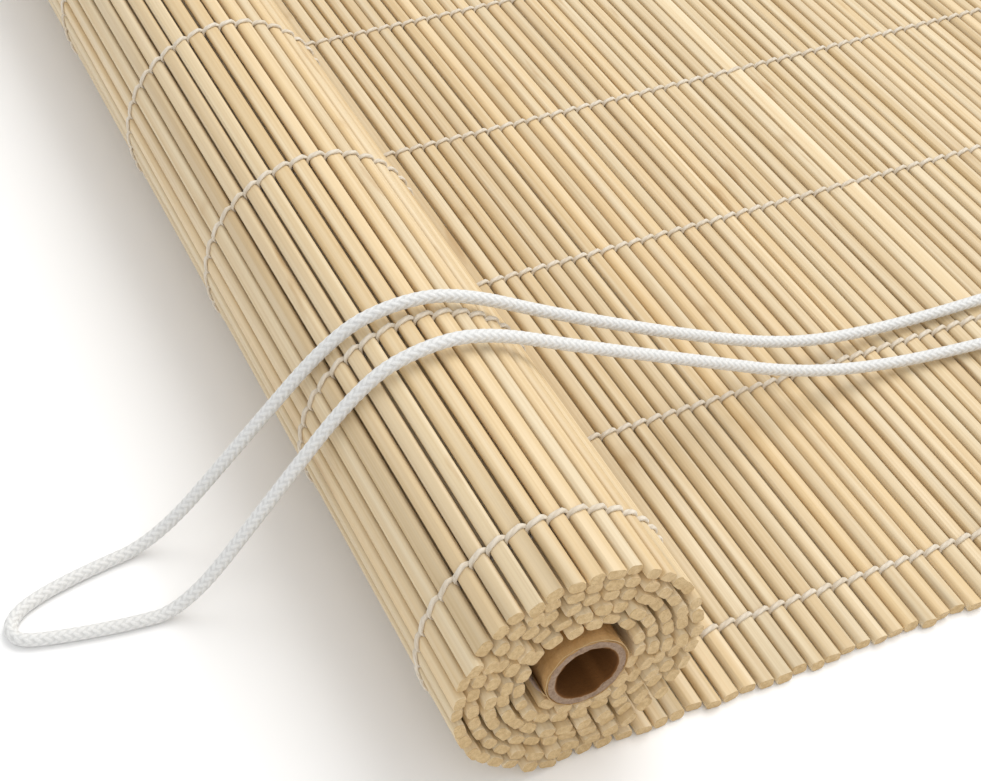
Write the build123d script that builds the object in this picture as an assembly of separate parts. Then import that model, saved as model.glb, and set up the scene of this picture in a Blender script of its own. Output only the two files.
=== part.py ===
"""Bamboo roll-up blind, part unrolled and lying on its back.

Frame: X runs along the mat, from the roll to the head rail; Y runs along the
sticks; Z is up.  The origin is at the middle of the footprint, on the surface
that the blind lies on.  All sizes are in millimetres.
"""
import os
import random
from math import cos, hypot, pi, radians, sin, sqrt, tan

from build123d import *

# ---------------------------------------------------------------- mat
mat_width = 600.0           # along the sticks
mat_length = 1600.0         # all sticks side by side, laid flat
stick_thickness = 2.75
stick_width_low, stick_width_high = 3.75, 4.40
stick_gap_low, stick_gap_high = 0.46, 0.84
stick_edge = 0.55           # broken edge along each stick
stick_end_scatter = 0.8     # how unevenly the sticks were cut
slat_width = 5.6            # the one wide slat
slat_from_roll = 176.5      # from the roll's axis, along the flat mat
sticks_per_group = 25

# ---------------------------------------------------------------- seams
seam_count = 9
seam_inset = 18.4           # first and last seam from the sticks' ends
thread_thickness = 0.33     # thread pressed flat against the sticks
thread_width = 1.2

# ---------------------------------------------------------------- roll
roll_height = 62.6
layer_pitch = 3.62          # from one turn to the next
roll_turns = 5.12
core_diameter = 20.0
core_wall = 2.5
core_overhang = 1.0         # core beyond the sticks at each end
core_shift = 0.35           # the loose core lies off the roll's axis,
core_drop = 0.55            # on the innermost turn

# ---------------------------------------------------------------- head rail
rail_width = 25.0
rail_thickness = 15.0
rail_edge_radius = 2.0
rail_overlap = 3.0          # rail beyond the last stick
staple_flat = 1.1           # width of the staples' flat wire
staple_bite = 5.0           # leg length inside the rail

# ---------------------------------------------------------------- pulleys
wheel_diameter = 12.6
wheel_thickness = 4.4
groove_radius = 1.7
groove_floor_diameter = 8.2
wheel_side_gap = 0.3        # above and below each wheel
wheel_rim_gap = 0.5
pin_diameter = 3.0
pin_running_gap = 0.05      # radial, in the wheel
pin_seat_gap = 0.02         # radial, in the housing
pin_head_diameter = 4.6
pin_head_height = 0.8
housing_wall = 1.6
housing_depth = 17.0        # out of the rail's front face
housing_edge_radius = 1.0
ear_length = 9.0
ear_thickness = 3.0
twin_pulley_y = -201.0
far_pulley_y = 211.2
mouth_diameter = 3.9
mouth_depth = 6.0
mouth_offsets = (-10.2, -15.0)

# ---------------------------------------------------------------- screws
screw_diameter = 2.8
screw_head_diameter = 6.0
screw_head_height = 2.0
screw_length = 12.0
screw_slot_width = 0.9
screw_slot_depth = 0.9
screw_hole_gap = 0.05       # radial, around the shank

# ---------------------------------------------------------------- hangers
hanger_spacing = 480.0
hanger_width = 16.0
hanger_thickness = 1.5
hanger_on_rail = 20.0       # length over the rail
hanger_reach = 15.0         # from the rail's back edge to the plate's round end
hanger_hole_diameter = 5.0
hanger_screw_inset = 4.5    # first screw from the rail's back edge
hanger_screw_pitch = 11.0

# ---------------------------------------------------------------- pull cord
cord_diameter = 3.3
# One cord, doubled: x from the roll's axis, y, z.  Out of the first mouth, along
# the mat, over the roll, round a loop on the table and back beside itself.
cord_route = [
    (878.6, -211.2, 8), (861, -211.2, 8), (835, -209, 5.6), (790, -204.5, 5.6),
    (742, -207, 5.6), (690, -213, 5.6), (640, -211, 5.6), (588, -204, 5.6),
    (535, -203, 5.6), (480, -209, 5.6), (428, -213.5, 5.6), (375, -210, 5.6),
    (325, -203.5, 5.6), (275, -202.5, 5.6), (228, -205.5, 5.6), (182, -207.3, 5.6),
    (142, -206.6, 5.9), (112, -208, 12.5), (80, -209.3, 27.5), (41, -210.3, 51),
    (10.9, -209.5, 68.6), (-6.6, -208.6, 69.6), (-22.6, -207, 62.7), (-46, -203.5, 32.5),
    (-69, -199.6, 1.65), (-92, -201.5, 1.65), (-105.5, -205.5, 1.65), (-109.8, -212.5, 1.65),
    (-106.5, -219.5, 1.65), (-94, -221.5, 1.65), (-69, -223.7, 1.65), (-46, -224.6, 32.5),
    (-22.6, -225.2, 62.7), (-6.6, -225.6, 69.6), (10.9, -225.3, 68.6), (41, -223.2, 51),
    (78, -221, 28.5), (108, -220.3, 13.5), (138, -220.6, 5.9), (170, -223.5, 5.6),
    (218, -226.5, 5.6), (268, -224.5, 5.6), (320, -219.5, 5.6), (372, -218.5, 5.6),
    (425, -223, 5.6), (478, -226.5, 5.6), (530, -223.5, 5.6), (582, -219, 5.6),
    (636, -220.5, 5.6), (688, -225.5, 5.6), (740, -224, 5.6), (790, -218.8, 5.6),
    (836, -216.5, 5.6), (861, -216, 8), (878.6, -216, 8),
]

# ---------------------------------------------------------------- worked out
underside = thread_thickness                      # the sticks lie on their seams
mid_height = underside + stick_thickness / 2
mat_top = underside + stick_thickness + thread_thickness
near_end, far_end = -mat_width / 2, mat_width / 2
seam_pitch = (mat_width - 2 * seam_inset) / (seam_count - 1)
seam_places = [near_end + seam_inset + seam_pitch * i for i in range(seam_count)]

start_radius = (roll_height - mid_height - stick_thickness / 2 + layer_pitch / 2) / 2
roll_z = mid_height + start_radius
end_angle = 2 * pi * roll_turns
rolled_length = start_radius * end_angle - layer_pitch * end_angle ** 2 / (4 * pi)
flat_length = mat_length - rolled_length

rail_back = flat_length + rail_overlap
rail_front = rail_back - rail_width
rail_top = mat_top + rail_thickness
rail_middle = mat_top + rail_thickness / 2


class Stick:
    """One stick: the middle of its section, the way the mat runs there, its size."""

    def __init__(self, group, x, z, run, width, near, far):
        self.group, self.x, self.z, self.run = group, x, z, run
        self.width, self.near, self.far = width, near, far

    def point(self, along, outward):
        """A point of the section: along the mat, and out from the roll's axis."""
        run_x, run_z = self.run
        return (self.x + along * run_x - outward * run_z, self.z + along * run_z + outward * run_x)


def roll_place(length):
    """Where the mat's middle line is, this far into the roll, and its direction."""
    angle = (start_radius - sqrt(start_radius ** 2 - layer_pitch * length / pi)) * 2 * pi / layer_pitch
    shrink = layer_pitch / (2 * pi)
    radius = start_radius - shrink * angle
    run_x = -radius * cos(angle) + shrink * sin(angle)
    run_z = radius * sin(angle) + shrink * cos(angle)
    size = hypot(run_x, run_z)
    place = (-radius * sin(angle), roll_z - radius * cos(angle))
    return angle, radius, place, (run_x / size, run_z / size)


def cut_ends():
    """The two ends of one stick, cut a little unevenly."""
    scatter = stick_end_scatter
    return near_end + random.uniform(-scatter, scatter), far_end + random.uniform(-scatter, scatter)


def rolled_sticks():
    """The sticks from the table contact inwards, grouped by turn."""
    sticks, length = [], 0.0
    width = random.uniform(stick_width_low, stick_width_high)
    gap = random.uniform(stick_gap_low, stick_gap_high)
    length += (width + gap) / 2
    while length < rolled_length:
        angle, radius, place, run = roll_place(length)
        group = "roll_sticks_turn_%d" % (int(angle / (2 * pi)) + 1)
        sticks.append(Stick(group, *place, run, width, *cut_ends()))
        next_width = random.uniform(stick_width_low, stick_width_high)
        gap = random.uniform(stick_gap_low, stick_gap_high)
        spread = radius / (radius - stick_thickness / 2 + stick_edge)
        length += (width + next_width) / 2 * spread + gap
        width = next_width
    return sticks


def flat_sticks():
    """The sticks from the table contact out to the head rail."""
    sticks, edge, slat_laid = [], 0.0, False
    while True:
        gap = random.uniform(stick_gap_low, stick_gap_high)
        width = random.uniform(stick_width_low, stick_width_high)
        group = "mat_sticks_%d" % (len(sticks) // sticks_per_group + 1)
        if not slat_laid and edge + gap + width > slat_from_roll:
            width, group, slat_laid = slat_width, "wide_slat", True
        edge += gap + width
        if edge > flat_length:
            return sticks
        sticks.append(Stick(group, edge - width / 2, mid_height, (-1.0, 0.0), width, *cut_ends()))


def prism(outline, near, far):
    """A closed outline of (x, z) points, drawn out along Y."""
    face = make_face(Polyline(*[(x, near, z) for x, z in outline], close=True))
    return extrude(face, amount=far - near, dir=(0, 1, 0))


def stick_solid(stick):
    """A split stick: flat faces and four broken edges."""
    half_width, half_thickness = stick.width / 2, stick_thickness / 2
    corners = []
    for side, face in ((1, 1), (-1, 1), (-1, -1), (1, -1)):
        on_face = (side * (half_width - stick_edge), face * half_thickness)
        on_side = (side * half_width, face * (half_thickness - stick_edge))
        corners += [on_side, on_face] if side * face > 0 else [on_face, on_side]
    return prism([stick.point(*corner) for corner in corners], stick.near, stick.far)


def meeting_point(stick, other, outward):
    """Where two neighbours' face lines, moved outward, cross."""
    ax, az = stick.point(0, outward)
    bx, bz = other.point(0, outward)
    (ux, uz), (vx, vz) = stick.run, other.run
    along = ((bx - ax) * vz - (bz - az) * vx) / (ux * vz - uz * vx)
    return ax + along * ux, az + along * uz


def thread_line(mat_end, rolled, outward):
    """The line of a thread along the faces of the flat mat and then of the roll."""
    line = [mat_end.point(-mat_end.width / 2, outward)]
    for stick, other in zip([mat_end] + rolled, rolled):
        line.append(meeting_point(stick, other, outward))
    line.append(rolled[-1].point(rolled[-1].width / 2, outward))
    return line


def seam(mat_end, rolled, place):
    """The two threads of a seam, one along each face of the mat."""
    near, far = place - thread_width / 2, place + thread_width / 2
    face = stick_thickness / 2
    threads = []
    for side in (1, -1):
        touching = thread_line(mat_end, rolled, side * face)
        outside = thread_line(mat_end, rolled, side * (face + thread_thickness))
        threads.append(prism(touching + outside[::-1], near, far))
    return threads


def core_tube():
    """The cardboard core, lying loose on the innermost turn."""
    length = mat_width + 2 * core_overhang
    place = Pos(core_shift, 0, roll_z - core_drop) * Rot(90, 0, 0)
    bore = core_diameter / 2 - core_wall
    return place * (Cylinder(core_diameter / 2, length) - Cylinder(bore, length))


def block(x_range, y_range, z_range):
    """A box between two values along each axis."""
    sizes = [high - low for low, high in (x_range, y_range, z_range)]
    middle = [(high + low) / 2 for low, high in (x_range, y_range, z_range)]
    return Pos(*middle) * Box(*sizes)


def staples(sticks):
    """Flat-wire staples under the rail, each astride one stick, and their leg slots."""
    middle = (rail_front + rail_back) / 2
    index = min(range(1, len(sticks) - 1), key=lambda i: abs(sticks[i].x - middle))
    held, roll_side, rail_side = sticks[index], sticks[index - 1], sticks[index + 1]
    legs_x = [(held.x - held.width / 2 + roll_side.x + roll_side.width / 2) / 2,
              (held.x + held.width / 2 + rail_side.x - rail_side.width / 2) / 2]
    half_wire = thread_thickness / 2
    tip = mat_top + staple_bite
    pieces, slots = [], []
    for first, second in zip(seam_places, seam_places[1:]):
        y_range = ((first + second - staple_flat) / 2, (first + second + staple_flat) / 2)
        staple = block((legs_x[0] - half_wire, legs_x[1] + half_wire), y_range, (0, underside))
        for x in legs_x:
            leg = (x - half_wire, x + half_wire)
            staple += block(leg, y_range, (0, tip))
            slots.append(block(leg, y_range, (mat_top, tip)))
        pieces.append(staple)
    return pieces, slots


def screw(place):
    """A slotted pan-head screw: seat of the head at the origin, shank along -Z."""
    head = Pos(0, 0, screw_head_height / 2) * Cylinder(screw_head_diameter / 2, screw_head_height)
    head = fillet(head.edges().sort_by(Axis.Z)[-1], screw_head_height * 0.45)
    shank = Pos(0, 0, -screw_length / 2) * Cylinder(screw_diameter / 2, screw_length)
    slot_z = screw_head_height - screw_slot_depth / 2
    slot = Pos(0, 0, slot_z) * Box(screw_head_diameter, screw_slot_width, screw_slot_depth)
    return place * (head + shank - slot)


def screw_hole(place):
    """The clear hole that a screw's shank passes into."""
    radius = screw_diameter / 2 + screw_hole_gap
    return place * (Pos(0, 0, -screw_length / 2) * Cylinder(radius, screw_length))


def wheel(x, y, z):
    """A pulley wheel with a round groove, its axis along Z, its lower face at z."""
    rim, bore = wheel_diameter / 2, pin_diameter / 2 + pin_running_gap
    floor = groove_floor_diameter / 2
    half_groove = sqrt(groove_radius ** 2 - (floor + groove_radius - rim) ** 2)
    middle = wheel_thickness / 2
    section = Polyline((rim, 0, middle - half_groove), (rim, 0, 0), (bore, 0, 0),
                       (bore, 0, wheel_thickness), (rim, 0, wheel_thickness),
                       (rim, 0, middle + half_groove))
    groove = ThreePointArc((rim, 0, middle + half_groove), (floor, 0, middle),
                           (rim, 0, middle - half_groove))
    return Pos(x, y, z) * revolve(make_face([section, groove]), Axis.Z)


class Pulley:
    """A housing on the rail's front face, its wheels on one pin, and its screws."""

    def __init__(self, y, wheel_count, mouths):
        self.y, self.wheel_count, self.mouths = y, wheel_count, mouths
        self.x = rail_front - housing_wall - wheel_rim_gap - wheel_diameter / 2
        self.pocket_height = wheel_count * wheel_thickness + (wheel_count + 1) * wheel_side_gap
        self.floor = rail_middle - self.pocket_height / 2
        self.bottom = self.floor - housing_wall
        self.top = self.floor + self.pocket_height + housing_wall
        self.front = rail_front - housing_depth
        swing = wheel_diameter / 2 + wheel_rim_gap
        self.pocket = (y - swing, y + swing)
        outer = [y + offset - mouth_diameter / 2 for offset in mouths] + [self.pocket[0]]
        self.sides = (min(outer) - housing_wall, self.pocket[1])
        ears = (self.sides[0] - ear_length, self.sides[1] + ear_length)
        screws_y = (ears[0] + ear_length / 2, ears[1] - ear_length / 2)
        seat = rail_front - ear_thickness
        self.ears = ears
        self.screw_places = [Pos(seat, place, rail_middle) * Rot(0, -90, 0) for place in screws_y]

    def housing(self):
        body = block((self.front, rail_front), self.sides, (self.bottom, self.top))
        body = fillet(body.edges().filter_by(Axis.Z).group_by(Axis.X)[0], housing_edge_radius)
        body += block((rail_front - ear_thickness, rail_front), self.ears, (self.bottom, self.top))
        ceiling = self.top - housing_wall
        body -= block((self.front, rail_front - housing_wall), self.pocket, (self.floor, ceiling))
        seat = Cylinder(pin_diameter / 2 + pin_seat_gap, self.top - self.bottom)
        body -= Pos(self.x, self.y, (self.top + self.bottom) / 2) * seat
        for offset in self.mouths:
            mouth = Cylinder(mouth_diameter / 2, mouth_depth)
            place = Pos(self.front + mouth_depth / 2, self.y + offset, self.mouth_height())
            body -= place * Rot(0, 90, 0) * mouth
        for place in self.screw_places:
            body -= screw_hole(place)
        return body

    def mouth_height(self):
        return self.floor + mouth_diameter / 2

    def wheels(self):
        step = wheel_thickness + wheel_side_gap
        first = self.floor + wheel_side_gap
        return [wheel(self.x, self.y, first + step * i) for i in range(self.wheel_count)]

    def pin(self):
        length = self.top - self.bottom
        shaft = Pos(0, 0, (self.top + self.bottom) / 2) * Cylinder(pin_diameter / 2, length)
        head = Pos(0, 0, self.top + pin_head_height / 2)
        return Pos(self.x, self.y, 0) * (shaft + head * Cylinder(pin_head_diameter / 2, pin_head_height))

    def screws(self):
        return [screw(place) for place in self.screw_places]


def hanger_screw_places(y):
    first = rail_back - hanger_screw_inset
    height = rail_top + hanger_thickness
    return [Pos(first - hanger_screw_pitch * i, y, height) for i in range(2)]


def hanger(y):
    """A steel plate on the rail, with a round end and a hole behind the rail."""
    end = rail_back + hanger_reach - hanger_width / 2
    z_range = (rail_top, rail_top + hanger_thickness)
    sides = (y - hanger_width / 2, y + hanger_width / 2)
    plate = block((rail_back - hanger_on_rail, end), sides, z_range)
    at_end = Pos(end, y, rail_top + hanger_thickness / 2)
    plate += at_end * Cylinder(hanger_width / 2, hanger_thickness)
    plate -= at_end * Cylinder(hanger_hole_diameter / 2, hanger_thickness)
    for place in hanger_screw_places(y):
        plate -= screw_hole(place)
    return plate


def head_rail(slots, screw_places):
    """A planed wooden rail with rounded long edges, on top of the mat's end."""
    rail = block((rail_front, rail_back), (near_end, far_end), (mat_top, rail_top))
    rail = fillet(rail.edges().filter_by(Axis.Y).group_by(Axis.Z)[-1], rail_edge_radius)
    for slot in slots:
        rail -= slot
    for place in screw_places:
        rail -= screw_hole(place)
    return rail


def pull_cord():
    """The doubled cord: straight runs joined by arcs as large as they allow."""
    points = [Vector(*point) for point in cord_route]
    runs = [after - before for before, after in zip(points, points[1:])]
    radii = []
    for run, following in zip(runs, runs[1:]):
        turn = radians(run.get_angle(following))
        radii.append(0.45 * min(run.length, following.length) / tan(turn / 2))
    print("cord radii", [round(radius, 1) for radius in radii])
    path = FilletPolyline(*points, radius=radii)
    tube = sweep((path ^ 0) * Circle(cord_diameter / 2), path=path)
    section = pi * cord_diameter ** 2 / 4
    print("cord length %.1f, volume over section x length %.4f"
          % (path.length, tube.volume / (section * path.length)))
    return tube


def build():
    """Every node of the blind, with the roll's axis at x = 0."""
    random.seed(11)
    rolled, flat = rolled_sticks(), flat_sticks()
    nodes = {}
    for stick in rolled + flat:
        nodes.setdefault(stick.group, []).append(stick_solid(stick))
    for number, place in enumerate(seam_places, 1):
        nodes["seam_%d" % number] = seam(flat[-1], rolled, place)
    nodes["core_tube"] = [core_tube()]

    nodes["mat_staples"], slots = staples(flat)
    twin = Pulley(twin_pulley_y, 2, mouth_offsets)
    far = Pulley(far_pulley_y, 1, ())
    nodes["twin_pulley_housing"] = [twin.housing()]
    nodes["twin_wheel_lower"], nodes["twin_wheel_upper"] = [[one] for one in twin.wheels()]
    nodes["twin_pulley_pin"] = [twin.pin()]
    nodes["far_pulley_housing"] = [far.housing()]
    nodes["far_wheel"] = far.wheels()
    nodes["far_pulley_pin"] = [far.pin()]
    nodes["pulley_screws"] = twin.screws() + far.screws()

    hanger_places = {"hanger_near": -hanger_spacing / 2, "hanger_far": hanger_spacing / 2}
    plate_screws = []
    for name, y in hanger_places.items():
        nodes[name] = [hanger(y)]
        plate_screws += hanger_screw_places(y)
    nodes["hanger_screws"] = [screw(place) for place in plate_screws]
    nodes["head_rail"] = [head_rail(slots, plate_screws + twin.screw_places + far.screw_places)]
    nodes["pull_cord"] = [pull_cord()]

    line = thread_line(flat[-1], rolled, stick_thickness / 2 + thread_thickness)
    left, right = min(x for x, z in line), rail_back + hanger_reach
    print("rolled", len(rolled), "flat", len(flat), "flat length %.2f" % flat_length)
    print("roll axis z %.3f" % roll_z, "twin", twin.x, twin.front, twin.mouth_height(), "far", far.x)
    return nodes, -(left + right) / 2


def main():
    nodes, shift = build()
    print("roll axis x %.4f" % shift)
    os.makedirs("parts", exist_ok=True)
    for name, solids in nodes.items():
        pieces = [Pos(shift, 0, 0) * piece for piece in solids]
        shape = pieces[0] if len(pieces) == 1 else Compound(children=pieces)
        export_step(shape, "parts/%s.step" % name)


main()
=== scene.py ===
"""Looks of the bamboo roll-up blind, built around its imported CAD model.

Everything is in metres.  X runs along the mat, from the roll to the head rail,
Y along the sticks, and Z is up.
"""
import math
import random

import bpy
import numpy as np
from mathutils import Matrix, Vector


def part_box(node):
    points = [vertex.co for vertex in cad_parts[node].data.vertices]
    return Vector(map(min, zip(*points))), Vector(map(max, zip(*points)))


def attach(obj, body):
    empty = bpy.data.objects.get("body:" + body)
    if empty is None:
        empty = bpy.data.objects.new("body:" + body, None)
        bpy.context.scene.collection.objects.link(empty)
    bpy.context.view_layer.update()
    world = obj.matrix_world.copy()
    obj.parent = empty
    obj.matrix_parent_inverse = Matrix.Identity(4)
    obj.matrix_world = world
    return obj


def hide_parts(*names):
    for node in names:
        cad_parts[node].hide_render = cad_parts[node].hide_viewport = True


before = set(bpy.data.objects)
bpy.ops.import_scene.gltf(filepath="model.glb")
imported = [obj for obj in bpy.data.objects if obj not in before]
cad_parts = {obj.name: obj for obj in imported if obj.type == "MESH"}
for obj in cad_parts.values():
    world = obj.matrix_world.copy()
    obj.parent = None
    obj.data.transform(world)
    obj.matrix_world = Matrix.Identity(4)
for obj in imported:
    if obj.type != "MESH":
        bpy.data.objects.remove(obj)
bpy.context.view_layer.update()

MM = 0.001
FULL_TURN = 2 * math.pi
rng = random.Random(5)

# ------------------------------------------------------------------ sizes
stick_thickness = 2.75 * MM
underside = 0.33 * MM               # the sticks lie on their seams' threads
mat_top = underside + stick_thickness
slat = "wide_slat"                  # the one stick of sawn wood
seam_names = ["seam_%d" % number for number in range(1, 10)]
thread_width = 1.50 * MM
thread_cross = 0.44 * MM            # how far a thread swings aside between two sticks
crossing_rise = 0.98 * MM           # a thread's height above the sticks' middle there
crossing_half_height = 0.42 * MM
# how far a thread stands off a stick: in sight, inside the roll, under a load
proud_shown, proud_rolled, proud_pressed = 0.95 * MM, 0.40 * MM, 0.33 * MM
yarn_lead = 3.4 * MM                # one full turn of the yarn's plies
cord_diameter = 3.3 * MM
braid_lead = 9.0 * MM               # one full turn of a strand
braid_strands = 4                   # each way round
strand_level, strand_swing = 0.62, 0.38   # a strand's height, and how it goes over and under
braid_floor = cord_diameter / 2 - 0.10 * MM
braid_relief = 0.14 * MM

core_low, core_high = (Vector(corner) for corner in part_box("core_tube"))
core_centre = (core_low + core_high) / 2
core_radius = (core_high.x - core_low.x) / 2
core_wall = 2.5 * MM
core_bore = core_radius - core_wall
roll_x = core_centre.x - 0.35 * MM  # the loose core lies a little off the roll's axis
roll_z = core_centre.z + 0.55 * MM
rail_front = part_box("head_rail")[0][0]
near_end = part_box("head_rail")[0][1]


# ------------------------------------------------------------------ mesh helpers
def new_object(name, mesh):
    piece = bpy.data.objects.new(name, mesh)
    bpy.context.scene.collection.objects.link(piece)
    return piece


def shade_smooth(mesh):
    mesh.polygons.foreach_set("use_smooth", [True] * len(mesh.polygons))


def tube_parts(rings):
    """Vertices, faces and UV layout of a tube around rings shaped (rings, sides, 3).
    u is the length along the middle in metres, v the share of the way round."""
    count, sides, _ = rings.shape
    steps = np.linalg.norm(np.diff(rings.mean(axis=1), axis=0), axis=1)
    lengths = np.concatenate([[0.0], np.cumsum(steps)])
    ring, side = np.meshgrid(np.arange(count - 1), np.arange(sides), indexing="ij")
    after = (side + 1) % sides
    quads = np.stack([ring * sides + side, ring * sides + after,
                      (ring + 1) * sides + after, (ring + 1) * sides + side], axis=-1)
    u = np.stack([lengths[ring], lengths[ring], lengths[ring + 1], lengths[ring + 1]], axis=-1)
    v = np.stack([side, side + 1, side + 1, side], axis=-1) / sides
    faces = quads.reshape(-1, 4).tolist()
    faces += [list(range(sides))[::-1], list(range((count - 1) * sides, count * sides))]
    layout = np.stack([u, v], axis=-1).reshape(-1, 2).tolist()
    layout += [(0.0, 0.0)] * sides + [(float(lengths[-1]), 0.0)] * sides
    return rings.reshape(-1, 3).tolist(), faces, layout


def lay_mesh(name, vertices, faces, layout):
    """A smooth mesh with the UV map "lay" that tells its material how it was laid."""
    mesh = bpy.data.meshes.new(name)
    mesh.from_pydata(vertices, [], faces)
    uv = mesh.uv_layers.new(name="lay")
    uv.data.foreach_set("uv", np.array(layout, dtype=np.float32).ravel())
    shade_smooth(mesh)
    return mesh


def unit(vectors):
    return vectors / np.linalg.norm(vectors, axis=-1, keepdims=True)


# ------------------------------------------------------------------ the CAD sticks
class Stick:
    """Where one CAD stick lies: the middle and the directions of its section, its ends."""

    def __init__(self, corners, node):
        self.node = node
        self.turn = int(node.rsplit("_", 1)[1]) if node.startswith("roll") else 0
        self.near, self.far = corners[:, 1].min(), corners[:, 1].max()
        section = corners[:, [0, 2]]
        self.x, self.z = section.mean(axis=0)
        _, axes = np.linalg.eigh(np.cov((section - section.mean(axis=0)).T))
        outward = axes[:, 0]        # the thin way through the stick, to the roll's outside
        away = np.array([self.x - roll_x, self.z - roll_z]) if self.turn else np.array([0.0, -1.0])
        if outward @ away < 0:
            outward = -outward
        self.out = Vector((outward[0], 0.0, outward[1]))
        self.run = Vector((outward[1], 0.0, -outward[0]))
        self.width = np.ptp(section @ np.array([self.run.x, self.run.z]))
        # the flat mat's sticks come first, from the head rail to the roll, then turn by
        # turn inwards, from under the roll's axis up its far side and over
        angle = math.atan2(roll_x - self.x, roll_z - self.z) % FULL_TURN
        self.order = FULL_TURN * (self.turn - 1) + angle if self.turn else roll_x - self.x - 1.0

    @property
    def middle(self):
        return Vector((self.x, 0.0, self.z))


def loose_parts(mesh):
    """The corner positions of each separate solid of a mesh."""
    places, index_of, index = [], {}, []
    for vertex in mesh.vertices:
        key = tuple(round(value, 6) for value in vertex.co)
        if key not in index_of:
            index_of[key] = len(places)
            places.append(vertex.co[:])
        index.append(index_of[key])
    parent = list(range(len(places)))

    def root(item):
        while parent[item] != item:
            parent[item] = parent[parent[item]]
            item = parent[item]
        return item

    for edge in mesh.edges:
        first, second = (root(index[end]) for end in edge.vertices)
        parent[first] = second
    parts = {}
    for item, place in enumerate(places):
        parts.setdefault(root(item), []).append(place)
    return [np.array(part) for part in parts.values()]


stick_nodes = sorted(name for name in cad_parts
                     if name.startswith(("roll_sticks", "mat_sticks")) or name == slat)
sticks = [Stick(part, node) for node in stick_nodes
          for part in loose_parts(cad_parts[node].data)]
sticks.sort(key=lambda stick: stick.order)


# ------------------------------------------------------------------ detailed sticks
corner_turns = np.array([0.04, 0.27, 0.5, 0.73, 0.96]) * math.pi / 2
section_points = 4 * len(corner_turns)
plain_rings = 9
bevel = 0.22 * MM
bevel_size = 0.90                   # a stick's end face, as a share of its section
# a bamboo node: distance from its middle in millimetres, share of the full swelling
knot_profile = ((-7, 0.0), (-2.6, 0.35), (-0.7, 1.0), (0.7, 0.9), (2.6, 0.3), (7, 0.0))
knot_chance = 0.42


def rounded_section(half_width, half_thickness, corners):
    """A rounded rectangle's points, as shares of its half sizes, with a soft crown."""
    along, outward = [], []
    for radius, (side, face) in zip(corners, ((1, 1), (-1, 1), (-1, -1), (1, -1))):
        turns = corner_turns if side * face > 0 else corner_turns[::-1]
        across = (half_width - radius + radius * np.cos(turns)) / half_width
        height = (half_thickness - radius + radius * np.sin(turns)) / half_thickness
        along += (side * across).tolist()
        outward += (face * height).tolist()
    along, outward = np.array(along), np.array(outward)
    return along * (1 + 0.03 * (1 - outward ** 2)), outward * (1 + 0.05 * (1 - along ** 2))


def stick_rings(stick):
    """The rings of one split, planed stick, and how much of a bamboo node each ring is."""
    half_width, half_thickness = stick.width / 2, stick_thickness / 2
    skew, crown = rng.uniform(-0.06, 0.06), rng.uniform(0.0, 0.08)
    corners = [rng.uniform(0.80, 1.22) * MM for _ in range(4)]
    if stick.node == slat:
        corners = [0.35 * MM] * 4
    along, outward = rounded_section(half_width, half_thickness, corners)
    along = along * (1 - crown * np.clip(-outward, 0, 1)) + skew * outward

    length = stick.far - stick.near
    # place along the stick: its size there, and its share of a bamboo node
    stations = {0.0: (bevel_size, 0.0), bevel: (1.0, 0.0),
                length - bevel: (1.0, 0.0), length: (bevel_size, 0.0)}
    for number in range(1, plain_rings):
        place = length * (number + rng.uniform(-0.3, 0.3)) / plain_rings
        stations[place] = (1.0 + rng.uniform(-0.025, 0.02), 0.0)
    if stick.node != slat and rng.random() < knot_chance:
        knot = rng.uniform(0.08, 0.92) * length
        swell = rng.uniform(0.02, 0.085)
        for offset, share in knot_profile:
            stations[knot + offset * MM] = (1.0 + swell * share, share)
    tilts = [(rng.uniform(-0.22, 0.22) * MM, rng.uniform(-0.18, 0.18) * MM) for _ in range(2)]
    bow_run, bow_out = rng.uniform(-0.16, 0.16) * MM, rng.uniform(-0.07, 0.07) * MM
    waves, phase = rng.uniform(0.5, 1.6), rng.uniform(0, FULL_TURN)
    twist = rng.uniform(-0.05, 0.05)

    rings, knots = [], []
    for place in sorted(stations):
        size, knot = stations[place]
        share = place / length
        bend = math.sin(FULL_TURN * waves * share + phase)
        lean = twist * (share - 0.5)
        a = half_width * size * (along - lean * outward) + bow_run * bend
        b = half_thickness * (1 + (size - 1) * 0.6) * (outward + lean * along) + bow_out * bend
        tilt = tilts[0] if share < 0.5 else tilts[1]
        sawn = max(0.0, 1 - min(place, length - place) / bevel) if 0 < place < length else 1.0
        y = stick.near + place + sawn * (tilt[0] * along + tilt[1] * outward)
        rings.append(np.stack([stick.x + a * stick.run.x + b * stick.out.x, y,
                               stick.z + a * stick.run.z + b * stick.out.z], axis=-1))
        knots.append(knot)
    return np.array(rings), knots


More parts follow.
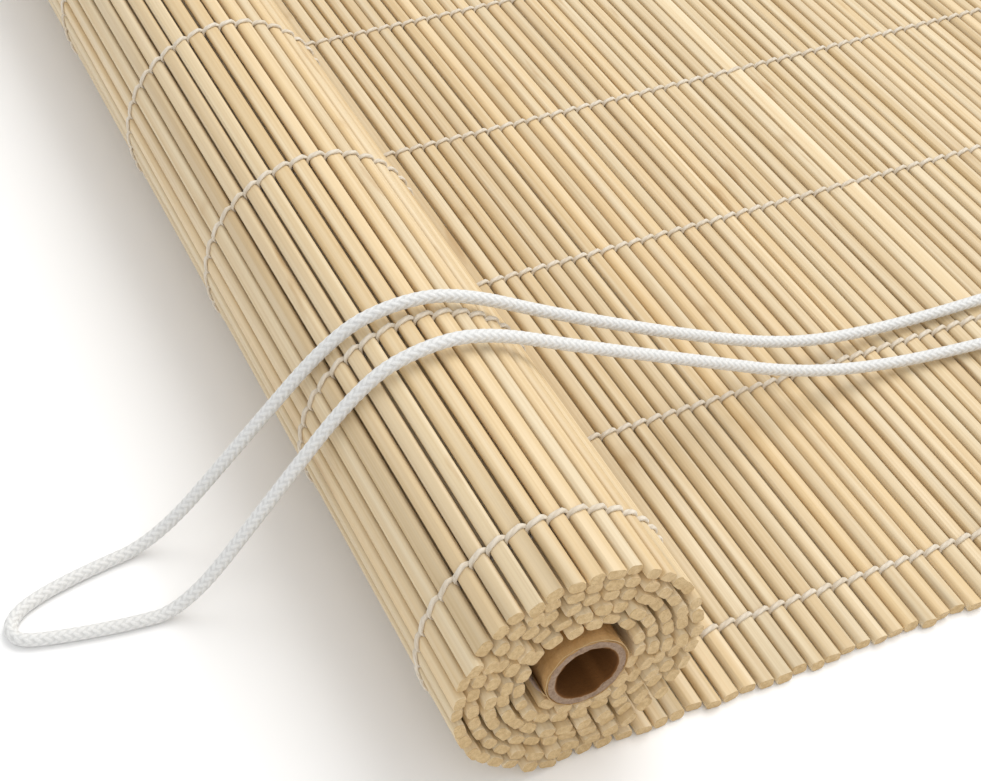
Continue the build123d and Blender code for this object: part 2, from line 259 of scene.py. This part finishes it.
def stick_piece(node):
    """All the sticks of one CAD node as one mesh, each with its own tone."""
    vertices, faces, marks = [], [], []
    for stick in (one for one in sticks if one.node == node):
        rings, knots = stick_rings(stick)
        start, (count, sides, _) = len(vertices), rings.shape
        vertices += rings.reshape(-1, 3).tolist()
        tone, hue, seed = rng.random(), rng.random(), rng.random()
        if node == slat:
            tone, hue = 1.0, 0.9
        for knot in knots:
            marks += [(tone, hue, seed, knot)] * sides
        for ring in range(count - 1):
            base = start + ring * sides
            faces += [(base + side, base + (side + 1) % sides,
                       base + sides + (side + 1) % sides, base + sides + side)
                      for side in range(sides)]
        faces.append(tuple(start + side for side in range(sides))[::-1])
        faces.append(tuple(start + (count - 1) * sides + side for side in range(sides)))
    mesh = bpy.data.meshes.new(node + "_look")
    mesh.from_pydata(vertices, [], faces)
    shade_smooth(mesh)
    marked = mesh.color_attributes.new("stick", "FLOAT_COLOR", "POINT")
    marked.data.foreach_set("color", np.array(marks, dtype=np.float32).ravel())
    mesh.validate()
    mesh.update()
    end_edges = {key for face in mesh.polygons if len(face.vertices) == section_points
                 for key in face.edge_keys}
    sharp = mesh.attributes.new("sharp_edge", "BOOLEAN", "EDGE")
    sharp.data.foreach_set("value", [edge.key in end_edges for edge in mesh.edges])
    return new_object(node + "_look", mesh)


# ------------------------------------------------------------------ twined seams
thread_sides = 7


def face_height(side, proud):
    """Distance from the mat's middle to a thread's middle, over one face of a stick."""
    return side * (stick_thickness / 2 + proud / 2 - 0.03 * MM)


def proud_height(stick, side):
    """How far a thread stands off a stick's face.  Side 1 is the roll's outside, which
    is the flat mat's underside."""
    low = stick.z - stick_thickness / 2
    if side < 0 and stick.turn == 0:
        beside_roll = stick.x - roll_x < 12 * MM
        under_rail = stick.x > rail_front - 2 * MM
        if under_rail:
            return proud_pressed
        return proud_rolled if beside_roll else proud_shown
    if side > 0 and stick.turn == 0:
        return proud_pressed
    if side > 0 and stick.turn == 1:
        if low < underside + 0.5 * MM:
            return proud_pressed
        return proud_rolled if stick.x > roll_x and low < mat_top + 2 * MM else proud_shown
    return proud_rolled


def thread_rings(place, lead):
    """One of a seam's two threads: over one stick, under the next, crossing its
    partner between them.  lead is 0 or 1: which of the two it is."""
    centres, half_widths, half_heights = [], [], []
    for index, stick in enumerate(sticks):
        side = 1 if (index + lead) % 2 else -1
        proud = proud_height(stick, side)
        hidden = stick.turn > 1
        shares = (-0.5, -0.3, 0.0, 0.3) if hidden else (-0.5, -0.43, -0.3, -0.1, 0.1, 0.3, 0.43)
        before, after = (stick.middle - stick.run * stick.width,
                         stick.middle + stick.run * stick.width)
        if index:
            before = sticks[index - 1].middle
        if index + 1 < len(sticks):
            after = sticks[index + 1].middle
        height = face_height(side, proud)
        slack = rng.uniform(0.9, 1.1)
        for share in shares:
            neighbour = before if share < 0 else after
            middle = stick.middle.lerp(neighbour, abs(share))
            rise = min(1.0, max(0.0, (0.5 - abs(share)) / 0.22))
            rise = math.sin(rise * math.pi / 2)      # 0 at the crossing, 1 on the stick
            aside = side * thread_cross * slack * math.sin(share * math.pi)
            lift = 0.0 if hidden else crossing_rise * (1 if stick.turn else -1)
            centre = middle + stick.out * (height * rise + lift * (1 - rise))
            centres.append((centre.x, place + aside, centre.z))
            half_widths.append(thread_width / 2 * (0.84 + 0.16 * rise))
            half_heights.append(proud / 2 * rise + crossing_half_height * (1 - rise))
    centres = np.array(centres)
    along = unit(np.gradient(centres, axis=0))
    across = unit(np.array([0.0, 1.0, 0.0]) - along * along[:, 1:2])
    up = np.cross(along, across)
    angles = (np.arange(thread_sides) * FULL_TURN / thread_sides)[None, :, None]
    half_widths = np.array(half_widths)[:, None, None]
    half_heights = np.array(half_heights)[:, None, None]
    return (centres[:, None, :] + across[:, None, :] * np.cos(angles) * half_widths
            + up[:, None, :] * np.sin(angles) * half_heights)


def seam_piece(node):
    """The two twined threads of a seam as one mesh."""
    low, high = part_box(node)
    vertices, faces, layout = [], [], []
    for lead in (0, 1):
        rings = thread_rings((low[1] + high[1]) / 2, lead)
        thread_vertices, thread_faces, thread_layout = tube_parts(rings)
        faces += [[len(vertices) + corner for corner in face] for face in thread_faces]
        vertices += thread_vertices
        layout += thread_layout
    return new_object(node + "_look", lay_mesh(node + "_look", vertices, faces, layout))


# ------------------------------------------------------------------ cardboard core
# Torn ply beside the core: x and z from the roll's axis, and how ragged its end is, in mm.
flap = ((-8.75, -4.45, 0.3), (-9.5, -3.6, 0.1), (-10.3, -2.3, 0.5),
        (-11.1, -1.1, 0.2), (-11.9, 0.1, 0.9), (-12.4, 1.2, 1.6))
flap_depth = 15 * MM


def core_piece():
    """The spiral-wound card core: an outer ply over a rough-sawn wall."""
    sides = 96
    angles = np.arange(sides) * FULL_TURN / sides
    outer, inner = core_radius, core_bore
    ply, saw = 0.35 * MM, 0.28 * MM          # thickness of the outer ply, depth of the saw marks
    length = core_high.y - core_low.y
    noise = np.array([rng.uniform(-1, 1) for _ in range(sides)])
    rough = (noise + np.roll(noise, 1) + np.roll(noise, -1)) / 3
    other = np.roll(rough, 31)

    def ring(radius, y, wobble=0.0, jitter=0.0, lift=0.0):
        radii = radius + wobble * rough + lift
        ys = y + jitter
        return np.stack([core_centre.x + radii * np.cos(angles), np.broadcast_to(ys, angles.shape),
                         core_centre.z + radii * np.sin(angles)], axis=-1)

    def lifted(angle, half, height):
        """An arc of the end where the outer ply has come loose."""
        away = np.abs((angles - angle + math.pi) % FULL_TURN - math.pi)
        return height * np.clip(1 - away / half, 0, 1) ** 1.5

    loose = lifted(0.15, 0.75, 0.35 * MM)
    chip = lifted(-0.95, 0.30, 0.9 * MM)
    rows = []
    near, far = core_low.y, core_high.y
    rows.append(ring(inner, near + 0.6 * MM, 0.03 * MM))
    rows.append(ring(inner, near + 0.15 * MM, 0.10 * MM, saw * other + chip * 0.6, chip * 0.8))
    for share in (0.2, 0.4, 0.6, 0.8):
        radius = inner + (outer - ply - inner) * share
        jitter = saw * np.roll(rough, int(40 * share) + 3) * 1.2
        rows.append(ring(radius, near, 0.06 * MM, jitter + chip * (1 - share)))
    rows.append(ring(outer - ply * 1.5, near + 0.05 * MM, 0.03 * MM, saw * rough))
    rows.append(ring(outer - ply * 1.1, near + 0.9 * MM, 0.0))
    rows.append(ring(outer - ply * 0.7, near + 0.9 * MM, 0.0, 0.0, loose * 0.5))
    rows.append(ring(outer - ply * 0.6, near + 0.12 * MM, 0.02 * MM, saw * other, loose))
    rows.append(ring(outer, near + 0.16 * MM, 0.03 * MM, saw * other, loose))
    rows.append(ring(outer, near + 2.5 * MM, 0.02 * MM, 0.0, loose * 0.35))
    for step in range(1, 9):
        rows.append(ring(outer, near + length * step / 9, 0.02 * MM))
    rows.append(ring(outer, far - 0.4 * MM, 0.03 * MM))
    rows.append(ring(outer - 0.15 * MM, far - 0.05 * MM, 0.03 * MM, -saw * np.abs(rough)))
    for share in (0.75, 0.5, 0.25):
        radius = inner + (outer - inner) * share
        jitter = saw * np.roll(rough, int(30 * share)) * 0.6
        rows.append(ring(radius, far - 0.1 * MM, 0.05 * MM, jitter))
    rows.append(ring(inner, far - 0.15 * MM, 0.08 * MM, saw * other * 0.5))
    rows.append(ring(inner, far - 1.0 * MM, 0.03 * MM))
    for step in range(8, 0, -1):
        rows.append(ring(inner, near + length * step / 9, 0.03 * MM))
    count = len(rows)
    faces = []
    for row in range(count):
        here, there = row * sides, (row + 1) % count * sides
        faces += [(here + side, here + (side + 1) % sides, there + (side + 1) % sides, there + side)
                  for side in range(sides)]
    vertices = np.array(rows).reshape(-1, 3).tolist()

    # the torn flap, loose at the near end between the core and the innermost turn
    for x, z, ragged in flap:
        for aside in (-0.14, 0.14):
            for y in (near + (0.4 + ragged) * MM, near + flap_depth):
                vertices.append((roll_x + (x - 0.85 * aside) * MM, y,
                                 roll_z + (z - 0.5 * aside) * MM))
    first = count * sides
    last = first + 4 * (len(flap) - 1)
    for here in range(first, last, 4):
        faces += [(here + a, here + b, here + 4 + b, here + 4 + a)
                  for a, b in ((0, 1), (1, 3), (3, 2), (2, 0))]
    faces += [(first, first + 2, first + 3, first + 1), (last, last + 1, last + 3, last + 2)]
    mesh = bpy.data.meshes.new("core_tube_look")
    mesh.from_pydata(vertices, [], faces)
    shade_smooth(mesh)
    return new_object("core_tube_look", mesh)


# ------------------------------------------------------------------ pull cord
def near_roll(x, y, z):
    return (roll_x + x * MM, y * MM, z * MM)


# One cord, doubled: x from the roll's axis, y, z, in millimetres.
cord_route = [near_roll(*point) for point in (
    (878.6, -211.2, 8), (861, -211.2, 8), (835, -209, 5.6), (790, -204.5, 5.6),
    (742, -207, 5.6), (690, -213, 5.6), (640, -211, 5.6), (588, -204, 5.6),
    (535, -203, 5.6), (480, -209, 5.6), (428, -213.5, 5.6), (375, -210, 5.6),
    (325, -203.5, 5.6), (275, -202.5, 5.6), (228, -205.5, 5.6), (182, -207.3, 5.6),
    (142, -206.6, 5.9), (112, -208, 12.5), (80, -209.3, 27.5), (39, -210.3, 49),
    (9.9, -209.5, 65.6), (-6.1, -208.6, 66.5), (-20.6, -207, 60.2), (-44, -203.5, 31),
    (-67, -199.4, 1.75), (-86, -202.2, 1.75), (-101, -206.2, 1.75), (-107.2, -211.2, 1.75),
    (-106.8, -217, 1.75), (-98.5, -219.6, 1.75), (-82, -222.6, 1.75), (-67, -223.7, 1.75),
    (-44, -224.6, 31), (-20.6, -225.2, 60.2), (-6.1, -225.6, 66.5), (9.9, -225.3, 65.6),
    (39, -223.2, 49), (78, -221, 28.5), (108, -220.3, 13.5), (138, -220.6, 5.9),
    (170, -223.5, 5.6), (218, -226.5, 5.6), (268, -224.5, 5.6), (320, -219.5, 5.6),
    (372, -218.5, 5.6), (425, -223, 5.6), (478, -226.5, 5.6), (530, -223.5, 5.6),
    (582, -219, 5.6), (636, -220.5, 5.6), (688, -225.5, 5.6), (740, -224, 5.6),
    (790, -218.8, 5.6), (836, -216.5, 5.6), (861, -216, 8), (878.6, -216, 8))]


def spline_points(route):
    """Points along the smooth line that has the route's points as control points."""
    curve = bpy.data.curves.new("cord_line", "CURVE")
    curve.dimensions = "3D"
    curve.resolution_u = 24
    spline = curve.splines.new("NURBS")
    spline.points.add(len(route) - 1)
    for point, place in zip(spline.points, route):
        point.co = (*place, 1.0)
    spline.order_u = 3
    spline.use_endpoint_u = True
    line = bpy.data.objects.new("cord_line", curve)
    mesh = bpy.data.meshes.new_from_object(line)
    points = np.array([vertex.co[:] for vertex in mesh.vertices])
    bpy.data.objects.remove(line)
    bpy.data.meshes.remove(mesh)
    return points


def even_points(points, step):
    """The same line with its points an even step apart."""
    steps = np.linalg.norm(np.diff(points, axis=0), axis=1)
    lengths = np.concatenate([[0], np.cumsum(steps)])
    places = np.linspace(0, lengths[-1], int(lengths[-1] / step) + 1)
    even = np.stack([np.interp(places, lengths, points[:, axis]) for axis in range(3)], axis=-1)
    return even, places


def steady_frames(points):
    """Two directions across the line at each point, that don't twist along it."""
    along = unit(np.gradient(points, axis=0))
    across = np.empty_like(points)
    across[0] = unit(np.cross(along[0], [0.0, 0.0, 1.0]))
    for index in range(1, len(points)):
        carried = across[index - 1] - along[index] * (across[index - 1] @ along[index])
        across[index] = carried / np.linalg.norm(carried)
    return across, np.cross(along, across)


def cord_piece():
    """The braided pull cord: a tube raised where each strand comes to the surface."""
    line = spline_points(cord_route)
    points, places = even_points(line, 0.72 * MM)
    across, up = steady_frames(points)
    sides = 20
    round_angle = (np.arange(sides) * FULL_TURN / sides)[None, :]
    lay = braid_strands * FULL_TURN * places[:, None] / braid_lead
    one_way = np.cos((braid_strands * round_angle + lay) / 2) ** 2
    other_way = np.cos((braid_strands * round_angle - lay) / 2) ** 2
    weave = strand_swing * np.cos(braid_strands * round_angle)
    height = np.maximum(one_way * (strand_level + weave), other_way * (strand_level - weave))
    radius = braid_floor + braid_relief * height
    rings = (points[:, None, :] + (radius * np.cos(round_angle))[:, :, None] * across[:, None, :]
             + (radius * np.sin(round_angle))[:, :, None] * up[:, None, :])
    mesh = lay_mesh("pull_cord_look", *tube_parts(rings))
    return new_object("pull_cord_look", mesh), line


# ------------------------------------------------------------------ materials
class Shader:
    """A material's node tree, with short ways to add and join nodes."""

    def __init__(self, name):
        self.material = bpy.data.materials.new(name)
        self.material.use_nodes = True
        self.tree = self.material.node_tree
        self.surface = self.tree.nodes["Principled BSDF"]

    def node(self, kind, **values):
        made = self.tree.nodes.new("ShaderNode" + kind)
        for key, value in values.items():
            setattr(made, key, value)
        return made

    def join(self, source, target):
        if isinstance(source, (int, float)):
            target.default_value = source
        elif isinstance(source, tuple):
            opaque = len(source) < len(target.default_value)
            target.default_value = (*source, 1.0) if opaque else source
        else:
            self.tree.links.new(source, target)

    def math(self, operation, first, second=0.0, third=0.0):
        made = self.node("Math", operation=operation)
        for value, socket in zip((first, second, third), made.inputs):
            self.join(value, socket)
        return made.outputs[0]

    def mix(self, factor, first, second, blend="MIX"):
        made = self.node("Mix", data_type="RGBA", blend_type=blend)
        self.join(factor, made.inputs["Factor"])
        self.join(first, made.inputs[6])
        self.join(second, made.inputs[7])
        return made.outputs[2]

    def between(self, value, low, high, first=0.0, last=1.0):
        made = self.node("MapRange")
        for number, item in enumerate((value, low, high, first, last)):
            self.join(item, made.inputs[number])
        return made.outputs[0]

    def noise(self, vector, scale, detail=2.0, roughness=0.5):
        made = self.node("TexNoise")
        self.join(vector, made.inputs["Vector"])
        self.join(scale, made.inputs["Scale"])
        self.join(detail, made.inputs["Detail"])
        self.join(roughness, made.inputs["Roughness"])
        return made.outputs["Fac"]

    def place(self, stretch, shift=None):
        """Object coordinates, stretched along each axis, with an optional shift."""
        source = self.node("TexCoord").outputs["Object"]
        made = self.node("Mapping")
        self.join(source, made.inputs["Vector"])
        made.inputs["Scale"].default_value = stretch
        if shift is None:
            return made.outputs[0]
        moved = self.node("VectorMath", operation="ADD")
        self.join(made.outputs[0], moved.inputs[0])
        self.join(shift, moved.inputs[1])
        return moved.outputs[0]

    def bump(self, height, distance, strength):
        made = self.node("Bump")
        made.inputs["Distance"].default_value = distance
        made.inputs["Strength"].default_value = strength
        self.join(height, made.inputs["Height"])
        self.tree.links.new(made.outputs[0], self.surface.inputs["Normal"])

    def facing_along(self):
        """How far the surface faces along Y, 0 to 1: a stick's or the core's sawn end."""
        parts = self.node("SeparateXYZ")
        self.join(self.node("NewGeometry").outputs["True Normal"], parts.inputs[0])
        return self.math("ABSOLUTE", parts.outputs[1])

    def finish(self, colour, roughness, specular, metallic=0.0):
        self.join(colour, self.surface.inputs["Base Color"])
        self.join(roughness, self.surface.inputs["Roughness"])
        self.surface.inputs["Specular IOR Level"].default_value = specular
        self.surface.inputs["Metallic"].default_value = metallic
        return self.material


def bamboo():
    """Split bamboo: long fibres, a tone for each stick, darker knots and raw ends."""
    s = Shader("bamboo")
    marks = s.node("Attribute", attribute_name="stick")
    parts = s.node("SeparateColor")
    s.join(marks.outputs["Color"], parts.inputs[0])
    tone, hue, seed = parts.outputs
    knot = marks.outputs["Alpha"]
    apart = s.node("CombineXYZ")        # moves the textures, so that no two sticks are alike
    for socket in apart.inputs:
        s.join(s.math("MULTIPLY", seed, 37.0), socket)
    shift = apart.outputs[0]
    fibre = s.noise(s.place((1500.0, 9.0, 1500.0), shift), 1.0, 3.0, 0.6)
    streak = s.noise(s.place((420.0, 3.5, 420.0), shift), 1.0, 2.0)
    cloud = s.noise(s.place((25.0, 7.0, 25.0), shift), 1.0, 2.0)
    stain = s.noise(s.place((180.0, 24.0, 180.0), shift), 1.0, 3.0)
    pale, straw, deep = (0.76, 0.625, 0.42), (0.67, 0.505, 0.285), (0.56, 0.38, 0.185)
    colour = s.mix(s.between(streak, 0.37, 0.64), pale, straw)
    colour = s.mix(s.math("MULTIPLY", s.between(cloud, 0.50, 0.75), 0.45), colour, deep)
    colour = s.mix(s.between(hue, 0.6, 1.0, 0.0, 0.38), colour, (0.76, 0.655, 0.46))
    colour = s.mix(s.between(hue, 0.0, 0.3, 0.30, 0.0), colour, (0.72, 0.52, 0.27))
    colour = s.mix(s.between(fibre, 0.42, 0.64, 0.0, 0.26), colour, (0.50, 0.34, 0.16))
    colour = s.mix(s.between(stain, 0.66, 0.74, 0.0, 0.55), colour, (0.46, 0.28, 0.11))
    colour = s.mix(s.math("MULTIPLY", knot, 0.34), colour, (0.50, 0.33, 0.15))
    shade = s.between(tone, 0.0, 1.0, 0.90, 1.06)
    grey = s.node("CombineColor")
    for socket in grey.inputs:
        s.join(shade, socket)
    colour = s.mix(1.0, colour, grey.outputs[0], "MULTIPLY")
    pores = s.node("TexVoronoi")
    s.join(s.place((2600.0, 300.0, 2600.0), shift), pores.inputs["Vector"])
    pores.inputs["Scale"].default_value = 1.0
    pith = s.noise(s.place((900.0, 900.0, 900.0), shift), 1.0, 3.0)
    raw = s.mix(s.between(pith, 0.35, 0.65), (0.50, 0.34, 0.155), (0.61, 0.44, 0.225))
    pore = s.between(pores.outputs["Distance"], 0.12, 0.34, 0.55, 0.0)
    raw = s.mix(pore, raw, (0.26, 0.15, 0.06))
    colour = s.mix(s.between(s.facing_along(), 0.6, 0.8), colour, raw)
    relief = s.math("ADD", s.math("MULTIPLY", fibre, 0.6), s.math("MULTIPLY", streak, 0.5))
    s.bump(relief, 0.00022, 0.55)
    roughness = s.between(fibre, 0.3, 0.7, 0.40, 0.56)
    return s.finish(colour, roughness, 0.38)


def lay_coordinates(s):
    """The length along a thread or cord, and the share of the way round it."""
    parts = s.node("SeparateXYZ")
    s.join(s.node("UVMap", uv_map="lay").outputs[0], parts.inputs[0])
    return parts.outputs[0], parts.outputs[1]


def yarn():
    """Twisted cotton yarn: plies that wind round the thread, painted shade in the grooves between
    them, and soft fibres.
    """
    s = Shader("seam_yarn")
    along, around = lay_coordinates(s)
    turns = s.math("MULTIPLY", along, FULL_TURN / yarn_lead)
    ply = s.math("SINE", s.math("MULTIPLY_ADD", around, 2 * FULL_TURN, turns))
    fuzz = s.noise(s.place((5200.0, 5200.0, 5200.0)), 1.0, 3.0, 0.7)
    cloud = s.noise(s.place((120.0, 120.0, 120.0)), 1.0, 2.0)
    colour = s.mix(s.between(cloud, 0.35, 0.65), (0.71, 0.62, 0.49), (0.78, 0.705, 0.59))
    # painted shade: the grooves between the plies are coloured darker brown
    colour = s.mix(s.between(ply, -1.0, -0.2, 0.30, 0.0), colour, (0.46, 0.375, 0.275))
    colour = s.mix(s.between(fuzz, 0.35, 0.6, 0.22, 0.0), colour, (0.50, 0.41, 0.31))
    s.bump(s.math("MULTIPLY_ADD", fuzz, 0.6, ply), 0.00010, 0.7)
    s.surface.inputs["Sheen Weight"].default_value = 0.25
    return s.finish(colour, 0.85, 0.2)


def braid():
    """White braided cotton: strands that cross both ways, with painted shade in the creases between
    them.
    """
    s = Shader("cord_braid")
    along, around = lay_coordinates(s)
    lay = s.math("MULTIPLY", along, braid_strands * math.pi / braid_lead)
    turn = s.math("MULTIPLY", around, braid_strands * math.pi)
    weave = s.math("COSINE", s.math("MULTIPLY", around, braid_strands * FULL_TURN))
    heights = []
    for sign in (1, -1):
        strand = s.math("COSINE", s.math("MULTIPLY_ADD", lay, float(sign), turn))
        strand = s.math("POWER", s.math("ABSOLUTE", strand), 1.3)
        raised = s.math("MULTIPLY_ADD", weave, strand_swing * sign, strand_level)
        heights.append(s.math("MULTIPLY", strand, raised))
    height = s.math("MAXIMUM", *heights)
    fibres = s.noise(s.place((4200.0, 4200.0, 4200.0)), 1.0, 3.0, 0.7)
    # painted shade: the creases between the strands are coloured darker grey
    crease_shade = s.between(height, 0.30, 0.66, 1.0, 0.0)
    colour = s.mix(s.between(fibres, 0.3, 0.7), (0.72, 0.72, 0.705), (0.85, 0.85, 0.84))
    colour = s.mix(s.math("MULTIPLY", crease_shade, 0.38), colour, (0.50, 0.50, 0.49))
    s.bump(s.math("MULTIPLY_ADD", fibres, 0.30, height), 0.00028, 0.7)
    s.surface.inputs["Sheen Weight"].default_value = 0.2
    return s.finish(colour, 0.8, 0.25)


def cardboard():
    """Kraft board: golden-brown outside, painted shade darkening the bore inside, grey-brown pulp
    at the sawn ends.
    The distance from the core's axis tells the plies, the bore and the torn flap apart."""
    s = Shader("core_board")
    pulp = s.noise(s.place((1500.0, 1500.0, 1500.0)), 1.0, 4.0, 0.7)
    fibre = s.noise(s.place((260.0, 90.0, 260.0)), 1.0, 4.0, 0.6)
    colour = s.mix(s.between(fibre, 0.3, 0.7), (0.42, 0.235, 0.085), (0.55, 0.34, 0.15))
    colour = s.mix(s.between(pulp, 0.5, 0.7, 0.0, 0.3), colour, (0.30, 0.16, 0.06))
    edge = s.mix(s.between(pulp, 0.35, 0.65), (0.25, 0.165, 0.11), (0.38, 0.27, 0.19))
    is_end = s.between(s.facing_along(), 0.45, 0.7)
    lay = s.node("SeparateXYZ")
    s.join(s.node("TexCoord").outputs["Object"], lay.inputs[0])
    across = s.math("SUBTRACT", lay.outputs[0], core_centre.x)
    upward = s.math("SUBTRACT", lay.outputs[2], core_centre.z)
    squares = s.math("ADD", s.math("MULTIPLY", across, across),
                     s.math("MULTIPLY", upward, upward))
    distance = s.math("SQRT", squares)
    # painted shade: the bore's inner surface is coloured near-black brown for the shade inside the
    # tube
    bore_shade = s.between(distance, core_bore + 0.2 * MM, core_bore + 0.5 * MM, 1.0, 0.0)
    colour = s.mix(bore_shade, colour, (0.16, 0.064, 0.016))
    in_ply = s.between(distance, core_radius - 0.45 * MM, core_radius - 0.30 * MM)
    edge = s.mix(in_ply, edge, (0.52, 0.36, 0.18))
    colour = s.mix(s.math("MULTIPLY", is_end, s.math("SUBTRACT", 1.0, bore_shade)), colour, edge)
    torn = s.between(distance, core_radius + 0.5 * MM, core_radius + 0.8 * MM)
    colour = s.mix(torn, colour, (0.27, 0.19, 0.14))
    s.bump(pulp, 0.0004, 0.7)
    return s.finish(colour, 0.86, 0.2)


def planed_wood():
    """The head rail: planed pale wood with grain along Y."""
    s = Shader("rail_wood")
    warp = s.noise(s.place((30.0, 2.0, 30.0)), 1.0, 2.0)
    grain = s.node("TexWave", wave_type="BANDS", bands_direction="X")
    s.join(s.place((130.0, 1.6, 160.0)), grain.inputs["Vector"])
    grain.inputs["Scale"].default_value = 1.0
    grain.inputs["Distortion"].default_value = 5.0
    grain.inputs["Detail"].default_value = 3.0
    pores = s.noise(s.place((2200.0, 25.0, 2200.0)), 1.0, 3.0, 0.65)
    ring = s.between(grain.outputs["Fac"], 0.2, 0.9)
    colour = s.mix(ring, (0.68, 0.50, 0.28), (0.56, 0.375, 0.18))
    colour = s.mix(s.between(warp, 0.4, 0.7, 0.0, 0.4), colour, (0.74, 0.58, 0.36))
    colour = s.mix(s.between(pores, 0.52, 0.72, 0.0, 0.5), colour, (0.40, 0.25, 0.11))
    s.bump(pores, 0.0002, 0.5)
    return s.finish(colour, s.between(pores, 0.3, 0.7, 0.42, 0.6), 0.4)


def zinc():
    """Zinc-plated steel with a faint mottle and fine rubbing."""
    s = Shader("zinc_steel")
    mottle = s.noise(s.place((220.0, 220.0, 220.0)), 1.0, 3.0)
    rub = s.noise(s.place((300.0, 5200.0, 1800.0)), 1.0, 2.0)
    colour = s.mix(s.between(mottle, 0.35, 0.65), (0.47, 0.49, 0.51), (0.61, 0.62, 0.63))
    s.bump(rub, 0.00006, 0.5)
    return s.finish(colour, s.between(mottle, 0.3, 0.7, 0.26, 0.42), 0.5, 1.0)


def moulded(name, colour, roughness):
    """Moulded plastic with a fine mould texture and faint flow marks."""
    s = Shader(name)
    texture = s.noise(s.place((3800.0, 3800.0, 3800.0)), 1.0, 2.0)
    flow = s.noise(s.place((90.0, 60.0, 160.0)), 1.0, 2.0)
    darker = tuple(value * 0.88 for value in colour)
    shade = s.mix(s.between(flow, 0.4, 0.7), colour, darker)
    s.bump(texture, 0.00008, 0.5)
    sheen = s.between(texture, 0.3, 0.7, roughness - 0.06, roughness + 0.06)
    return s.finish(shade, sheen, 0.45)


def dress(piece, material):
    """Gives a piece one material, on the object's own slots for a CAD node."""
    if not piece.data.materials:
        piece.data.materials.append(material)
    for slot in piece.material_slots:
        slot.link = "OBJECT"
        slot.material = material


# ------------------------------------------------------------------ put together
bamboo_look, yarn_look = bamboo(), yarn()
for node in stick_nodes:
    piece = stick_piece(node)
    dress(piece, bamboo_look)
    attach(piece, "blind")
    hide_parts(node)

for node in seam_names:
    piece = seam_piece(node)
    dress(piece, yarn_look)
    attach(piece, "blind")
    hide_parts(node)

core = core_piece()
dress(core, cardboard())
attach(core, "blind")
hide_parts("core_tube")

cord, cord_line = cord_piece()
dress(cord, braid())
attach(cord, "blind")
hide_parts("pull_cord")

looks = {
    planed_wood(): ("head_rail",),
    zinc(): ("mat_staples", "twin_pulley_pin", "far_pulley_pin", "pulley_screws",
             "hanger_near", "hanger_far", "hanger_screws"),
    moulded("housing_plastic", (0.74, 0.72, 0.66), 0.48):
        ("twin_pulley_housing", "far_pulley_housing"),
    moulded("wheel_nylon", (0.80, 0.79, 0.75), 0.34):
        ("twin_wheel_lower", "twin_wheel_upper", "far_wheel"),
}
for material, nodes in looks.items():
    for node in nodes:
        dress(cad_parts[node], material)


# ------------------------------------------------------------------ studio
def floor():
    """A plain pale floor at the CAD's surface."""
    reach = 6.0
    corners = [(-reach, -reach, 0), (reach, -reach, 0), (reach, reach, 0), (-reach, reach, 0)]
    mesh = bpy.data.meshes.new("floor")
    mesh.from_pydata(corners, [], [(0, 1, 2, 3)])
    piece = new_object("floor", mesh)
    s = Shader("floor")
    piece.data.materials.append(s.finish((0.97, 0.97, 0.97), 0.9, 0.1))


def area_light(name, place, aim, size, power, colour):
    """A square soft light at a place, turned to its aim."""
    data = bpy.data.lights.new(name, "AREA")
    data.shape, data.size, data.size_y = "RECTANGLE", size, size
    data.energy, data.color = power, colour
    light = bpy.data.objects.new(name, data)
    bpy.context.scene.collection.objects.link(light)
    light.location = place
    light.rotation_euler = (Vector(aim) - Vector(place)).to_track_quat("-Z", "Y").to_euler()


def camera():
    """The view: from beyond the roll's near end, looking down along the sticks."""
    data = bpy.data.cameras.new("camera")
    data.sensor_width, data.lens = 36.0, 67.0
    data.clip_start = 0.01
    azimuth, tilt, lean = (math.radians(angle) for angle in (-26.67, 47.37, 2.26))
    turn = (Matrix.Rotation(azimuth, 4, "Z") @ Matrix.Rotation(tilt, 4, "X")
            @ Matrix.Rotation(lean, 4, "Z"))
    place = Vector((roll_x - 0.13193, near_end - 0.21265, 0.34218))
    piece = bpy.data.objects.new("camera", data)
    bpy.context.scene.collection.objects.link(piece)
    piece.matrix_world = Matrix.Translation(place) @ turn
    bpy.context.scene.camera = piece


def studio():
    """The floor, a key light from the mat's side, a weaker fill and a white sky."""
    floor()
    middle = (roll_x + 0.1, near_end + 0.15, 0.0)
    area_light("key", (roll_x + 2.2, near_end + 1.0, 3.4), middle, 3.2, 112.0, (1.0, 0.99, 0.97))
    area_light("fill", (roll_x - 0.6, near_end - 2.4, 3.4), middle, 3.6, 30.0, (1.0, 1.0, 1.0))
    world = bpy.data.worlds.new("studio")
    world.use_nodes = True
    sky = world.node_tree.nodes["Background"]
    sky.inputs["Color"].default_value = (1.0, 1.0, 1.0, 1.0)
    sky.inputs["Strength"].default_value = 0.70
    bpy.context.scene.world = world
    bpy.context.scene.view_settings.view_transform = "Standard"


studio()
camera()
